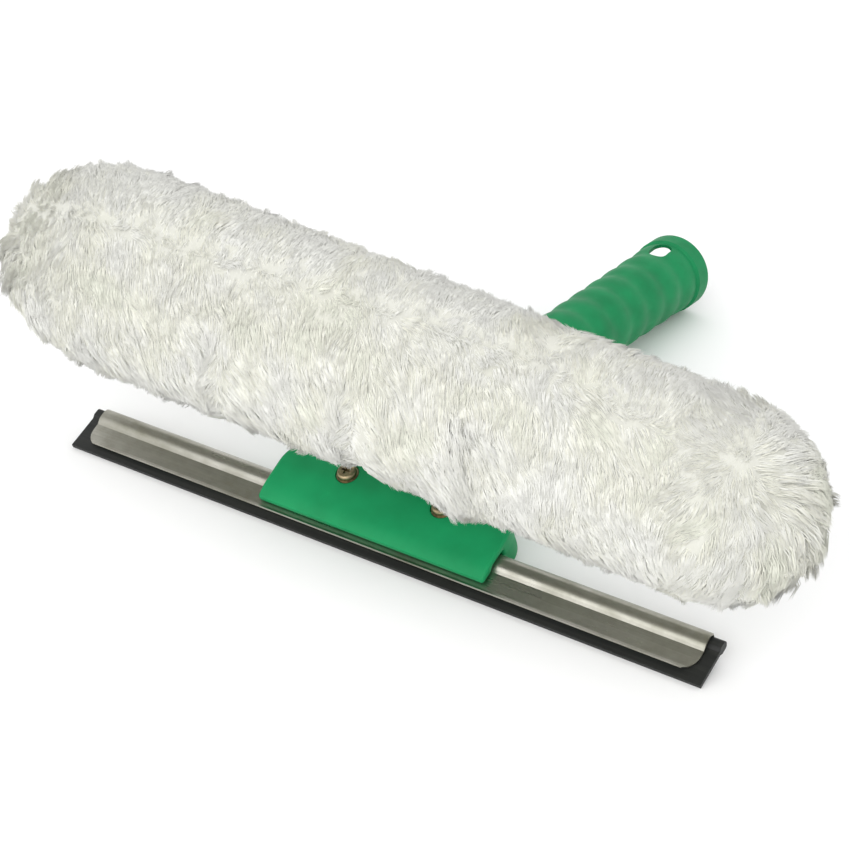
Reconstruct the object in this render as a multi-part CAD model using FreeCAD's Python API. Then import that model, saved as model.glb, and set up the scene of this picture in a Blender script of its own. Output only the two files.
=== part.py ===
import FreeCAD, Part
import math
import os

from FreeCAD import Placement, Rotation, Vector

# Hand tool with two working heads on one handle: a rubber wiping blade in a steel channel, and a
# washing sleeve on a cross bar. All sizes are in millimetres.
#
# Rest pose: the rubber's lower edge and the handle's end collar stand on a flat surface, Z = 0.
# X runs along the blade, +Y from the blade to the handle's end.
#
# Three working frames, each turned about X only:
#   blade frame   Y up the blade from the rubber's tip, Z out of the blade's upper side
#   bar frame     Y across the cross bar's width, Z out of its front, away from the neck
#   handle frame  Y from the handle's mouth back towards the head, seen as distance t

os.makedirs("parts", exist_ok=True)

# ---- driving dimensions ---------------------------------------------------------------------------
BLADE_TILT = 22.5          # blade plane above the surface it rests on, degrees
BAR_TILT = 47.0            # cross bar's width direction above the surface, degrees
HANDLE_DROP = 4.0          # handle axis falls this much towards its mouth, degrees

RUBBER_LENGTH = 355.0
RUBBER_TIP = 2.0           # thickness at the wiping edge
RUBBER_ROOT = 2.2          # thickness where the blade meets its bead
BEAD_HALF = 2.4            # half the bead's thickness
BEAD_BACK = 24.8           # bead's back, from the wiping edge

CHANNEL_LENGTH = 343.0
SHEET = 0.8                # channel's sheet thickness
CHANNEL_CORNER = 9.0       # plan radius of the channel's lip corners
CHANNEL_BACK = 25.6        # sheet's middle line at the channel's back
CHANNEL_HALF = 4.2         # sheet's middle line over the bead
LIP = 4.2                  # channel's upper lip, from the wiping edge

JAW_HALF = 64.0            # half the clamp plate's width
JAW_FRONT = 7.8            # clamp plate's front edge, from the wiping edge
JAW_BACK = 46.0
JAW_SEAM = 0.7             # top of the lower jaw behind the channel
JAW_GAP = 0.3              # clearance between the plate and what it closes on
SCREW_X = 27.0             # clamp screws each side of the middle
SCREW_S = 34.0             # clamp screws from the wiping edge

BAR_CENTRE = (17.0, 97.0)  # cross bar's middle above and behind the wiping edge
BAR_LENGTH = 356.0
BAR_HALF_WIDTH = 23.0
BAR_HALF_THICK = 7.0
BAR_WALL = 2.6
CAP_THICK = 5.0

PILE_LENGTH = 444.0
PILE_END = (88.0, 59.0)        # reach of its rounded left and right ends
PILE_END_POWER = 2.4
PILE_CUT = 0.97                # each end is cut flat at this share of its reach
PILE_HALF_WIDTH = 48.8
PILE_HALF_THICK = 31.8
PILE_TAPER = -0.0185           # its half width falls this much with each millimetre of X
PILE_MIDDLE = -3.2             # it sits a little low on the bar
PILE_SKEW = -0.040             # and a little askew, by this much with each millimetre of X
BACKING = 1.3              # sleeve cloth
LOOSE = 0.3                # air between the cloth and the bar

MOUTH_Y = 305.7            # handle's mouth behind the wiping edge
COLLAR_R = 21.0
COLLAR_LENGTH = 11.0
MOUTH_R = 19.6             # hollow end: its radius at the mouth
THROAT_R = 18.4            # at the collar's back
HOLLOW_R = 17.2            # and where the core begins
CORE_T = 30.0              # core's end, from the mouth
GRIP_END = 150.0           # grip's head end, from the mouth
GRIP_R_MOUTH = 20.2        # grip's crest radius beside the collar
GRIP_R_HEAD = 18.4
GRIP_PITCH = 17.6          # one soft ring of the grip
RING_COUNT = 7
RING_START = 1.4           # first ring begins this far from the collar
GROOVE_DEPTH = 1.0         # middle of a groove below the crests
GROOVE_EDGE = 0.6          # where a groove's arc meets the crest arcs, below the crests
GROOVE_HALF = 3.5          # half a groove's width
CORE_R = 14.6
SHANK_R = 16.2             # bare core between the grip and the head
POLE_R = 12.0              # socket for an extension pole
POLE_DEPTH = 104.0
HANG_WIDTH = 10.3          # hang hole across the handle
HANG_LENGTH = 15.0         # hang hole along the handle
HANG_T = 21.5              # hang hole's middle, from the mouth

# ---- fasteners: M5 pan heads, plain washers and hexagon nuts --------------------------------------
SCREW_R = 2.45
HOLE_R = 2.75
NUT_BORE_R = 2.5
HEAD_R = 4.8
HEAD_HIGH = 3.0
WASHER_R = 5.4
WASHER_HIGH = 1.0
NUT_FLATS = 8.0
NUT_HIGH = 4.0
RECESS_LONG = 4.6
RECESS_WIDE = 1.1
RECESS_DEEP = 1.6

PAST = 1.0                 # how far a cutter runs past a face

# ---- fixed places worked out from the dimensions ---------------------------------------------------
FLOOR = -RUBBER_TIP / 2 * math.cos(math.radians(BLADE_TILT))
MOUTH_Z = FLOOR + COLLAR_R * math.cos(math.radians(HANDLE_DROP))


def turned(tilt, y=0.0, z=0.0):
    """Placement of a working frame: turned about X, then moved to (y, z)."""
    return Placement(Vector(0, y, z), Rotation(Vector(1, 0, 0), tilt))


BLADE = turned(BLADE_TILT)
BAR = turned(BAR_TILT, *BAR_CENTRE)
HANDLE = turned(-HANDLE_DROP, MOUTH_Y, MOUTH_Z)


# ---- outlines -------------------------------------------------------------------------------------
def in_section(u, v):
    return Vector(0, u, v)


def in_plan(u, v):
    return Vector(u, v, 0)


def across(u, v):
    return Vector(u, 0, v)


def rounded_outline(corners, radii, place):
    """Closed wire through the corners, each one rounded by a tangent arc of its own radius."""
    count = len(corners)
    starts = []
    edges = []
    for i, corner in enumerate(corners):
        here = Vector(*corner, 0)
        back = Vector(*corners[i - 1], 0).sub(here).normalize()
        on = Vector(*corners[(i + 1) % count], 0).sub(here).normalize()
        radius = radii[i]
        if radius <= 0:
            starts.append((here, here))
            continue
        half = back.getAngle(on) / 2
        reach = radius / math.tan(half)
        middle = back.add(on).normalize() * (radius / math.sin(half) - radius)
        first, last = here + back * reach, here + on * reach
        points = [place(p.x, p.y) for p in (first, here + middle, last)]
        edges.append(Part.Arc(*points).toShape())
        starts.append((first, last))
    for i in range(count):
        a, b = starts[i][1], starts[(i + 1) % count][0]
        if a.distanceToPoint(b) > 1e-6:
            edges.append(Part.makeLine(place(a.x, a.y), place(b.x, b.y)))
    return Part.Wire(Part.__sortEdges__(edges))


def strip_outline(middle_line, bends, thickness):
    """Corners and radii of a strip of sheet, bent about its middle line by each point's own radius."""
    half = thickness / 2
    sides = {1: ([], []), -1: ([], [])}
    last = len(middle_line) - 1
    for i, point in enumerate(middle_line):
        here = Vector(*point, 0)
        steps = []
        if i > 0:
            steps.append(here.sub(Vector(*middle_line[i - 1], 0)).normalize())
        if i < last:
            steps.append(Vector(*middle_line[i + 1], 0).sub(here).normalize())
        normals = [Vector(-s.y, s.x, 0) for s in steps]
        mitre = normals[0] if len(normals) == 1 else normals[0].add(normals[1])
        mitre = mitre * (1 / mitre.dot(normals[0]))
        turn = steps[0].cross(steps[-1]).z
        for side, (points, radii) in sides.items():
            moved = here + mitre * (half * side)
            points.append((moved.x, moved.y))
            inner = turn * side > 0
            radii.append(0 if i in (0, last) else bends[i] - half if inner else bends[i] + half)
    corners = sides[1][0] + sides[-1][0][::-1]
    return corners, sides[1][1] + sides[-1][1][::-1]


def bar_along_x(corners, radii, x_from, x_to):
    """Solid with the given Y-Z section between two X values."""
    face = Part.Face(rounded_outline(corners, radii, in_section))
    solid = face.extrude(Vector(x_to - x_from, 0, 0))
    solid.translate(Vector(x_from, 0, 0))
    return solid


def slab(corners, radii, z_from, z_to):
    """Solid with the given X-Y plan between two Z values."""
    face = Part.Face(rounded_outline(corners, radii, in_plan))
    solid = face.extrude(Vector(0, 0, z_to - z_from))
    solid.translate(Vector(0, 0, z_from))
    return solid


def rectangle(half_u, half_v):
    return [(-half_u, -half_v), (half_u, -half_v), (half_u, half_v), (-half_u, half_v)]


def block(half_x, half_y, z_from, z_to, radius):
    """Upright block about the Z axis with rounded corners."""
    return slab(rectangle(half_x, half_y), [radius] * 4, z_from, z_to)


def rod(radius, base, axis, length):
    return Part.makeCylinder(radius, length, base, axis)


def placed(shape, frame):
    """A copy of the shape, moved from a working frame to the common one."""
    moved = shape.copy()
    moved.Placement = frame.multiply(moved.Placement)
    return moved


def group(shapes):
    return Part.makeCompound(shapes)


def hexagon(flats, z_from, z_to, x, y):
    radius = flats / math.sqrt(3)
    angles = [math.radians(60 * k) for k in range(6)]
    corners = [(x + radius * math.cos(a), y + radius * math.sin(a)) for a in angles]
    return slab(corners, [0] * 6, z_from, z_to)


# ---- fasteners, about the Z axis of whatever frame they are used in -------------------------------
def pan_screw(x, y, seat, tip, up):
    """Pan head screw whose head sits on z = seat; up is +1 or -1, the side its head is on."""
    axis = Vector(0, 0, up)
    head = rod(HEAD_R, Vector(x, y, seat), axis, HEAD_HIGH)
    rim = [e for e in head.Edges if abs(e.CenterOfMass.z - seat) > HEAD_HIGH / 2 and e.Closed]
    head = head.makeFillet(HEAD_HIGH * 0.55, rim)
    shank = rod(SCREW_R, Vector(x, y, tip), axis, abs(seat - tip) + PAST)
    recess_floor = seat + up * (HEAD_HIGH - RECESS_DEEP)
    arms = []
    for long_x, long_y in ((RECESS_LONG, RECESS_WIDE), (RECESS_WIDE, RECESS_LONG)):
        arm = Part.makeBox(long_x, long_y, RECESS_DEEP + PAST)
        low = recess_floor if up > 0 else recess_floor - RECESS_DEEP - PAST
        arm.translate(Vector(x - long_x / 2, y - long_y / 2, low))
        arms.append(arm)
    return head.fuse(shank).cut(arms[0].fuse(arms[1]))


def washer(x, y, seat, up):
    ring = rod(WASHER_R, Vector(x, y, seat), Vector(0, 0, up), WASHER_HIGH)
    hole = rod(HOLE_R, Vector(x, y, seat - up * PAST), Vector(0, 0, up), WASHER_HIGH + 2 * PAST)
    return ring.cut(hole)


def nut(x, y, z_from, z_to):
    hole = rod(NUT_BORE_R, Vector(x, y, z_from - PAST), Vector(0, 0, 1), z_to - z_from + 2 * PAST)
    return hexagon(NUT_FLATS, z_from, z_to, x, y).cut(hole)


# ---- wiping head, in the blade frame ---------------------------------------------------------------
PLATE_SEAT = 8.0           # washer seat sunk into the clamp plate's top
JAW_FLOOR = -5.9           # floor of the lower jaw's pocket
PAD_THICK = 1.0
JAW_BOTTOM = -11.2
NUT_LOW = -10.0
JAW_STEP = 26.4            # shoulder of the lower jaw behind the channel


def rubber_blade():
    tip, root = RUBBER_TIP / 2, RUBBER_ROOT / 2
    upper = [(0, tip), (18.4, root), (20.2, BEAD_HALF), (BEAD_BACK, BEAD_HALF)]
    lower = [(s, -n) for s, n in reversed(upper)]
    radii = [0, 0.8, 1.0, 2.0]
    half = RUBBER_LENGTH / 2
    return bar_along_x(upper + lower, radii + radii[::-1], -half, half)


def channel():
    back, high = CHANNEL_BACK, CHANNEL_HALF
    upper = [(LIP, 2.9), (5.6, 2.15), (11.0, 1.85), (15.6, 2.1), (18.4, high), (back, high)]
    lower = [(back, -high), (18.4, -high), (15.6, -2.1), (11.0, -1.85), (8.4, -2.0), (7.6, -2.5)]
    bends = [0, 0.95, 0.95, 0.95, 6.0, 3.6, 3.6, 6.0, 0.95, 0.95, 0.95, 0]
    corners, radii = strip_outline(upper + lower, bends, SHEET)
    half = CHANNEL_LENGTH / 2
    strip = bar_along_x(corners, radii, -half - PAST, half + PAST)
    front, past = LIP - 0.9, back + PAST
    plan = [(-half, front), (half, front), (half, past), (-half, past)]
    outline = slab(plan, [CHANNEL_CORNER, CHANNEL_CORNER, 2.2, 2.2], -10, 10)
    return strip.common(outline)


def clamp_plate():
    gap = JAW_GAP
    under = [(JAW_FRONT, 2.5 + gap), (14.4, 2.5 + gap), (17.4, 4.65 + gap), (JAW_STEP + 0.1, 4.65 + gap)]
    heel = [(JAW_STEP + 0.1, JAW_SEAM + gap), (JAW_BACK, JAW_SEAM + gap)]
    top = [(JAW_BACK, 9.5), (28.0, 9.3), (13.0, 7.9), (JAW_FRONT, 5.6)]
    radii = [0.6, 1.5, 0.8, 0.5, 0, 0, 0, 60.0, 22.0, 1.6]
    half = JAW_HALF
    plate = bar_along_x(under + heel + top, radii, -half - PAST, half + PAST)
    plan = [(-half, JAW_FRONT - PAST), (half, JAW_FRONT - PAST), (half, JAW_BACK), (-half, JAW_BACK)]
    plate = plate.common(slab(plan, [0, 0, 16.0, 16.0], 0, 20))
    side_edges = [e for e in plate.Edges if abs(e.CenterOfMass.x) > 40 and e.CenterOfMass.z > 5]
    plate = plate.makeFillet(1.6, side_edges)
    for x in (-SCREW_X, SCREW_X):
        plate = plate.cut(rod(HOLE_R, Vector(x, SCREW_S, 0), Vector(0, 0, 1), 20))
        plate = plate.cut(rod(WASHER_R + 0.5, Vector(x, SCREW_S, PLATE_SEAT), Vector(0, 0, 1), 10))
    return plate


def jaw_pad():
    low = JAW_FLOOR
    back = JAW_STEP - 0.4
    corners = [(18.0, low), (back, low), (back, low + PAD_THICK), (18.0, low + PAD_THICK)]
    half = JAW_HALF - 4
    return bar_along_x(corners, [0, 0, 0.4, 0.4], -half, half)


def lower_jaw():
    """Floor and shoulder that the channel lies in, ahead of the head."""
    corners = [(17.6, JAW_FLOOR), (JAW_STEP, JAW_FLOOR), (JAW_STEP, JAW_SEAM), (50.0, JAW_SEAM),
               (50.0, JAW_BOTTOM), (28.0, JAW_BOTTOM), (17.6, -7.7)]
    radii = [0.5, 0, 0.6, 0, 0, 6.0, 0.6]
    half = JAW_HALF - 1.5
    jaw = bar_along_x(corners, radii, -half, half)
    plan = [(-half, 17.0), (half, 17.0), (half, JAW_BACK + 1), (-half, JAW_BACK + 1)]
    return jaw.common(slab(plan, [4.0, 4.0, 15.0, 15.0], -20, 20))


def clamp_screw(x):
    lift = 0.05            # the head turns just clear of its washer
    return pan_screw(x, SCREW_S, PLATE_SEAT + WASHER_HIGH + lift, NUT_LOW - 0.4, 1)


# ---- handle --------------------------------------------------------------------------------------
def head_section(half_x, half_z, radius, frame):
    return placed(rounded_outline(rectangle(half_x, half_z), [radius] * 4, across), frame)


def along_handle(t):
    """Frame at distance t from the handle's mouth."""
    return HANDLE.multiply(Placement(Vector(0, -t, 0), Rotation()))


def head_fan():
    """Body of the head, from the back of the jaws to the round handle."""
    middle, high = (9.4 + JAW_BOTTOM) / 2, (9.4 - JAW_BOTTOM) / 2
    at_jaws = BLADE.multiply(Placement(Vector(0, JAW_BACK + 0.4, middle), Rotation()))
    half_way = turned(13.0, 76.0, 32.5)
    round_end = SHANK_R - 0.05
    sections = [head_section(48.0, high, 6.0, at_jaws),
                head_section(31.0, 14.5, 11.0, half_way),
                head_section(round_end, round_end, round_end - 0.3, along_handle(192.0))]
    return Part.makeLoft(sections, True, False)


NECK_HALF = (13.0, 9.5)
SPIGOT_HALF = (9.0, 6.0)
BOSS_HALF = (19.0, 14.0)
BOSS_TOP = -52.0           # in the bar frame, below the bar
BOSS_FOOT = -92.0
SPIGOT_FOOT = -70.0
FLANGE_THICK = 4.0
PIN_R = 2.0
PIN_Z = -61.0
BOLT_X = 19.0
BOLT_NUT_LOW = 3.2


def handle_core():
    head = placed(lower_jaw(), BLADE).fuse([head_fan()])
    boss = block(*BOSS_HALF, BOSS_FOOT, BOSS_TOP, 6.0)
    top_rim = [e for e in boss.Edges if abs(e.CenterOfMass.z - BOSS_TOP) < 0.01]
    boss = boss.makeFillet(1.5, top_rim)
    tube = rod(CORE_R, Vector(0, -CORE_T, 0), Vector(0, -1, 0), 150)
    shank = rod(SHANK_R, Vector(0, -GRIP_END - 0.2, 0), Vector(0, -1, 0), 46)
    core = head.fuse([placed(boss, BAR), placed(tube, HANDLE), placed(shank, HANDLE)])
    socket = rod(POLE_R, Vector(0, PAST - CORE_T, 0), Vector(0, -1, 0), POLE_DEPTH + PAST)
    spigot = block(SPIGOT_HALF[0] + 0.1, SPIGOT_HALF[1] + 0.1, SPIGOT_FOOT - 0.1, BOSS_TOP + PAST, 2.0)
    pin = rod(PIN_R, Vector(-30, 0, PIN_Z), Vector(1, 0, 0), 60)
    core = core.cut([placed(socket, HANDLE), placed(spigot, BAR), placed(pin, BAR)])
    for x in (-SCREW_X, SCREW_X):
        hole = rod(HOLE_R, Vector(x, SCREW_S, -20), Vector(0, 0, 1), 30)
        pocket = hexagon(NUT_FLATS + 0.1, -20, NUT_LOW + NUT_HIGH, x, SCREW_S)
        core = core.cut([placed(hole, BLADE), placed(pocket, BLADE)])
    return core.removeSplitter()


def grip_radius(t):
    """Crest radius of the soft grip, tapering from the collar to the head."""
    share = (t - COLLAR_LENGTH) / (GRIP_END - COLLAR_LENGTH)
    return GRIP_R_MOUTH + (GRIP_R_HEAD - GRIP_R_MOUTH) * share


def grip_rings(first_t):
    """Edges of the rings' outline, and its two ends: broad crest arcs between narrow groove arcs."""
    def at(t, below_crest):
        return in_section(-t, grip_radius(t) - below_crest)

    here = at(first_t, GROOVE_EDGE)
    ends = [here]
    edges = []
    for k in range(RING_COUNT):
        groove_t = COLLAR_LENGTH + GRIP_PITCH * (k + 1)
        into, out = at(groove_t - GROOVE_HALF, GROOVE_EDGE), at(groove_t + GROOVE_HALF, GROOVE_EDGE)
        crest_t = -(here.y + into.y) / 2
        edges.append(Part.Arc(here, at(crest_t, 0), into).toShape())
        edges.append(Part.Arc(into, at(groove_t, GROOVE_DEPTH), out).toShape())
        here = out
    ends.append(here)
    return edges, ends


def polyline(points):
    return [Part.makeLine(in_section(*a), in_section(*b)) for a, b in zip(points, points[1:])]


def grip_sleeve():
    """Ringed grip with a thicker collar at the handle's mouth, pushed over the core."""
    rim, inner = 1.2, CORE_R + 0.02
    rings, (start, end) = grip_rings(COLLAR_LENGTH + RING_START)
    collar = [(0, MOUTH_R), (0, COLLAR_R - rim), (-rim, COLLAR_R), (-COLLAR_LENGTH, COLLAR_R),
              (start.y, start.z)]
    bore = [(end.y, end.z), (-GRIP_END, GRIP_R_HEAD - 1.6), (-GRIP_END, inner), (-CORE_T, inner),
            (-CORE_T, HOLLOW_R), (-COLLAR_LENGTH, THROAT_R), (0, MOUTH_R)]
    edges = polyline(collar) + rings + polyline(bore)
    face = Part.Face(Part.Wire(Part.__sortEdges__(edges)))
    grip = face.revolve(Vector(0, 0, 0), Vector(0, 1, 0), 360)
    grip.rotate(Vector(0, 0, 0), Vector(0, 1, 0), 180)
    half = HANG_WIDTH / 2
    ahead, behind = -HANG_T + HANG_LENGTH / 2, -HANG_T - HANG_LENGTH / 2
    plan = [(-half, behind), (half, behind), (half, ahead), (-half, ahead)]
    return grip.cut(slab(plan, [half - 0.01] * 4, 2, 40))


# ---- washing head, in the bar frame ----------------------------------------------------------------
SLIT_HALF = (30.0, 15.0)   # opening in the sleeve's back for the neck
BINDING = 5.0              # binding tape's width round that opening
TAPE_X = (36.0, 92.0)      # closure tapes beside the opening
TAPE_HALF = 10.0
TAPE_THICK = 1.2


def tbar():
    half = BAR_LENGTH / 2 - CAP_THICK
    section = rectangle(BAR_HALF_WIDTH, BAR_HALF_THICK)
    beam = bar_along_x(section, [BAR_HALF_THICK - 0.2] * 4, -half, half)
    inner = rectangle(BAR_HALF_WIDTH - BAR_WALL, BAR_HALF_THICK - BAR_WALL)
    inner_r = [BAR_HALF_THICK - BAR_WALL - 0.2] * 4
    solid_half = 35.0
    for side in (-1, 1):
        ends = sorted((side * solid_half, side * (half + PAST)))
        beam = beam.cut(bar_along_x(inner, inner_r, *ends))
    for x in (-BOLT_X, BOLT_X):
        beam = beam.cut(rod(HOLE_R, Vector(x, 0, -20), Vector(0, 0, 1), 40))
        beam = beam.cut(hexagon(NUT_FLATS + 0.1, BOLT_NUT_LOW, 20, x, 0))
    return beam


def tbar_endcap(side):
    end = BAR_LENGTH / 2
    section = rectangle(BAR_HALF_WIDTH, BAR_HALF_THICK)
    outer = bar_along_x(section, [BAR_HALF_THICK - 0.2] * 4, end - CAP_THICK, end)
    outer_rim = [e for e in outer.Edges if abs(e.CenterOfMass.x - end) < 0.01]
    outer = outer.makeFillet(2.0, outer_rim)
    gap = 0.1
    plug = rectangle(BAR_HALF_WIDTH - BAR_WALL - gap, BAR_HALF_THICK - BAR_WALL - gap)
    plug_r = [BAR_HALF_THICK - BAR_WALL - gap - 0.2] * 4
    cap = outer.fuse(bar_along_x(plug, plug_r, end - CAP_THICK - 14, end - CAP_THICK))
    if side < 0:
        cap = cap.mirror(Vector(0, 0, 0), Vector(1, 0, 0))
    return cap


def tbar_neck():
    flange_low = -BAR_HALF_THICK - FLANGE_THICK
    flange = block(26.0, 13.0, flange_low, -BAR_HALF_THICK, 6.0)
    strut = block(*NECK_HALF, BOSS_TOP, flange_low + PAST, 4.0)
    spigot = block(*SPIGOT_HALF, SPIGOT_FOOT, BOSS_TOP + PAST, 1.9)
    neck = flange.fuse([strut, spigot]).removeSplitter()
    neck = neck.cut(rod(PIN_R, Vector(-30, 0, PIN_Z), Vector(1, 0, 0), 60))
    for x in (-BOLT_X, BOLT_X):
        neck = neck.cut(rod(HOLE_R, Vector(x, 0, -20), Vector(0, 0, 1), 40))
    return neck


def neck_pin():
    return rod(PIN_R, Vector(-BOSS_HALF[0], 0, PIN_Z), Vector(1, 0, 0), 2 * BOSS_HALF[0])


BOLT_SEAT = -BAR_HALF_THICK - FLANGE_THICK


def tbar_bolts():
    seat = BOLT_SEAT - WASHER_HIGH
    return group([pan_screw(x, 0, seat, BAR_HALF_THICK - 0.4, -1) for x in (-BOLT_X, BOLT_X)])


def tbar_washers():
    return group([washer(x, 0, BOLT_SEAT, -1) for x in (-BOLT_X, BOLT_X)])


def tbar_nuts():
    return group([nut(x, 0, BOLT_NUT_LOW, BAR_HALF_THICK) for x in (-BOLT_X, BOLT_X)])


def pouch(extra):
    """Closed form round the bar that stands off it by extra on every side."""
    section = rectangle(BAR_HALF_WIDTH + extra, BAR_HALF_THICK + extra)
    radius = BAR_HALF_THICK - 0.2 + extra
    half = BAR_LENGTH / 2 + extra
    return bar_along_x(section, [radius - 0.01] * 4, -half, half)


def sleeve_backing():
    cloth = pouch(LOOSE + BACKING).cut(pouch(LOOSE))
    return cloth.cut(block(*SLIT_HALF, -20, -BAR_HALF_THICK + 2, 5.0))


def pile_form():
    """Outer shape of the fleece: an oval roll, a little askew on the bar, with full, rounded ends."""
    left, right = (PILE_LENGTH / 2 - PILE_CUT * reach for reach in PILE_END)
    shares = (PILE_CUT, 0.92, 0.84, 0.7, 0.45)
    stations = [-left - PILE_END[0] * share for share in shares]
    stations += [-left, (right - left) / 2, right]
    stations += [right + PILE_END[1] * share for share in reversed(shares)]
    wires = []
    for x in stations:
        past = max(0.0, (-left - x) / PILE_END[0], (x - right) / PILE_END[1])
        k = math.sqrt(1 - past ** PILE_END_POWER)
        oval = Part.Ellipse(Vector(0, 0, 0), (PILE_HALF_WIDTH + PILE_TAPER * x) * k, PILE_HALF_THICK * k)
        wire = Part.Wire(oval.toShape())
        middle = Vector(x, PILE_MIDDLE + PILE_SKEW * x, 0)
        wire.Placement = Placement(middle, Rotation(Vector(0, 1, 0), 90)).multiply(
            Placement(Vector(0, 0, 0), Rotation(Vector(0, 0, 1), 90)))
        wires.append(wire)
    return Part.makeLoft(wires, True, False)


def sleeve_pile():
    pile = pile_form().cut(pouch(LOOSE + BACKING))
    opening = block(SLIT_HALF[0] + BINDING, SLIT_HALF[1] + BINDING, -60, -BAR_HALF_THICK + 2, 8.0)
    far, side = TAPE_X[1] + 4, TAPE_HALF + 2
    tape_plan = [(0, -side), (far, -side), (far, side), (0, side)]
    tape_way = slab(tape_plan, [0, 4, 4, 0], -60, -BAR_HALF_THICK + 2)
    return pile.cut(opening.fuse(tape_way))


def slit_binding():
    low = -BAR_HALF_THICK - LOOSE - BACKING
    ring = block(SLIT_HALF[0] + BINDING, SLIT_HALF[1] + BINDING - 2, low - 1.6, low, 6.0)
    return ring.cut(block(*SLIT_HALF, low - 5, low + 5, 5.0))


def closure_tape(level):
    """One of the two closure tapes, laid in level 0 or 1 on the sleeve's back."""
    high = -BAR_HALF_THICK - LOOSE - BACKING - level * TAPE_THICK
    near, far = TAPE_X
    plan = [(near, -TAPE_HALF), (far, -TAPE_HALF), (far, TAPE_HALF), (near, TAPE_HALF)]
    return slab(plan, [2.0] * 4, high - TAPE_THICK, high)


# ---- assembly -----------------------------------------------------------------------------------
def build():
    """Every node's shape in the common frame, before the origin is set."""
    nodes = {
        "rubber_blade": placed(rubber_blade(), BLADE),
        "channel": placed(channel(), BLADE),
        "clamp_plate": placed(clamp_plate(), BLADE),
        "jaw_pad": placed(jaw_pad(), BLADE),
        "handle_core": handle_core(),
        "grip_sleeve": placed(grip_sleeve(), HANDLE),
        "tbar": placed(tbar(), BAR),
        "tbar_neck": placed(tbar_neck(), BAR),
        "neck_pin": placed(neck_pin(), BAR),
        "tbar_bolts": placed(tbar_bolts(), BAR),
        "tbar_washers": placed(tbar_washers(), BAR),
        "tbar_nuts": placed(tbar_nuts(), BAR),
        "sleeve_backing": placed(sleeve_backing(), BAR),
        "sleeve_pile": placed(sleeve_pile(), BAR),
        "slit_binding": placed(slit_binding(), BAR),
        "closure_loop_tape": placed(closure_tape(0), BAR),
        "closure_hook_tape": placed(closure_tape(1), BAR),
    }
    for name, side in (("left", -1), ("right", 1)):
        x = side * SCREW_X
        nodes["clamp_screw_" + name] = placed(clamp_screw(x), BLADE)
        nodes["washer_" + name] = placed(washer(x, SCREW_S, PLATE_SEAT, 1), BLADE)
        nodes["nut_" + name] = placed(nut(x, SCREW_S, NUT_LOW, NUT_LOW + NUT_HIGH), BLADE)
        nodes["tbar_endcap_" + name] = placed(tbar_endcap(side), BAR)
    return nodes


def origin_of(nodes):
    """Middle of the object's box, on the surface that it stands on."""
    box = FreeCAD.BoundBox()
    for shape in nodes.values():
        box.add(shape.optimalBoundingBox(False, False))
    return Vector((box.XMin + box.XMax) / 2, (box.YMin + box.YMax) / 2, box.ZMin)


NODES = build()
ORIGIN = origin_of(NODES)
TO_ORIGIN = Placement(Vector(-ORIGIN.x, -ORIGIN.y, -ORIGIN.z), Rotation())

for node_name, node_shape in NODES.items():
    placed(node_shape, TO_ORIGIN).exportStep("parts/" + node_name + ".step")
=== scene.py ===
"""Looks of a two-headed window tool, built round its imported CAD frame.

Everything is in metres in the CAD's frame. The washing sleeve is worked out in the cross bar's own
frame, in millimetres: x along the bar, w across it and u out of its front, away from the neck.
"""

import math

import bmesh
import bpy
import numpy as np
from mathutils import Matrix, Vector


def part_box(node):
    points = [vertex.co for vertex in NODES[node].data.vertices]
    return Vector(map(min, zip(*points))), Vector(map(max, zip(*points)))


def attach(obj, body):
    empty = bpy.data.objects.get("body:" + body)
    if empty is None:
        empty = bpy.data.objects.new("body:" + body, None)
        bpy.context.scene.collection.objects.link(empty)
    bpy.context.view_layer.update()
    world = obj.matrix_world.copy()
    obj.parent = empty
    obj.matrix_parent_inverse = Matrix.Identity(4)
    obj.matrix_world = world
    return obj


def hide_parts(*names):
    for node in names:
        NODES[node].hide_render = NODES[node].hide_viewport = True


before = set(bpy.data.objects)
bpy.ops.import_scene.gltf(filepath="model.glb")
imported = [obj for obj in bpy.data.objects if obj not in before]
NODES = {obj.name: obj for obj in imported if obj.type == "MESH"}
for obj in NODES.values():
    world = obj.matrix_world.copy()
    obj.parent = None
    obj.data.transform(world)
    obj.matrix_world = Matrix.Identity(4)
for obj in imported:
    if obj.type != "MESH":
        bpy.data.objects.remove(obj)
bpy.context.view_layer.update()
MM = 0.001
SEED = 41

# ---- the cross bar's frame --------------------------------------------------------------------------
BAR_TILT = math.radians(47.0)
BAR_LOW, BAR_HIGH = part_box("tbar")
BAR_MID = np.array((BAR_LOW + BAR_HIGH) / 2)
BAR_AXES = np.array([
    (1, 0, 0),
    (0, math.cos(BAR_TILT), math.sin(BAR_TILT)),
    (0, -math.sin(BAR_TILT), math.cos(BAR_TILT)),
])


def to_row(points):
    """Points (x, w, u) in millimetres in the bar's frame, as metres in the row's frame."""
    return BAR_MID + np.asarray(points, float) @ BAR_AXES * MM


# ---- node helpers -----------------------------------------------------------------------------------
def new_material(name, colour, roughness, **sockets):
    """A material with a Principled shader; the further sockets are set by name, _ for a space."""
    made = bpy.data.materials.new(name)
    made.use_nodes = True
    shader = made.node_tree.nodes["Principled BSDF"]
    shader.inputs["Base Color"].default_value = (*colour, 1)
    shader.inputs["Roughness"].default_value = roughness
    for socket, value in sockets.items():
        shader.inputs[socket.replace("_", " ")].default_value = value
    return made


def add(made, kind, inputs=(), **settings):
    """A node of that kind; each input is a number, a colour or another node's output."""
    node = made.node_tree.nodes.new("ShaderNode" + kind)
    for key, value in settings.items():
        setattr(node, key, value)
    for socket, value in dict(inputs).items():
        if isinstance(value, bpy.types.NodeSocket):
            made.node_tree.links.new(value, node.inputs[socket])
        else:
            node.inputs[socket].default_value = value
    return node


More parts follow.
